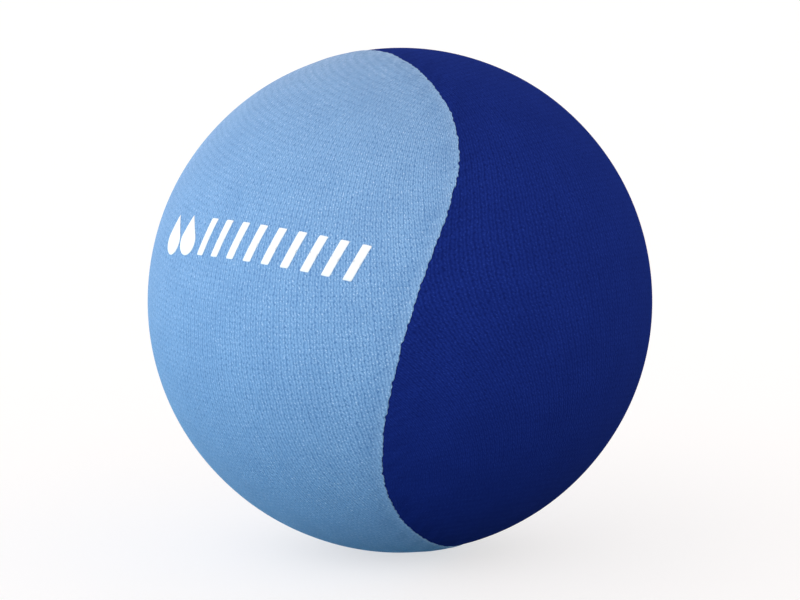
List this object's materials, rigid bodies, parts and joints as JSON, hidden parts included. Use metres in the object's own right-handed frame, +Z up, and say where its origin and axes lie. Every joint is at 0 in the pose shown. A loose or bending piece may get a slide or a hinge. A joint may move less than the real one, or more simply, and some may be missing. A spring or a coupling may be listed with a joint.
{
  "type": "water bouncing ball",
  "caption": "Soft gel play ball in a light and dark stretch-knit cover with one wavy sewn seam, thrown so that it skips across water.",
  "frame": {"origin": "centre of the ball", "axes": "+Z up as the ball lies, -Y towards the side that shows the printed mark and the seam's S, +X towards the dark panel"},
  "size_m": [0.056, 0.056, 0.056],
  "materials": {
    "gel": "soft translucent gel",
    "light_knit": "satin stretch knit",
    "dark_knit": "satin stretch knit",
    "thread": "textured polyester thread",
    "transfer_film": "thin white transfer film"
  },
  "bodies": {
    "ball": {"gel_core": "gel", "light_panel": "light_knit", "dark_panel": "dark_knit", "needle_thread": "thread", "upper_looper_thread": "thread", "lower_looper_thread": "thread", "closing_thread": "thread", "printed_mark": "transfer_film"}
  },
  "joints": []
}
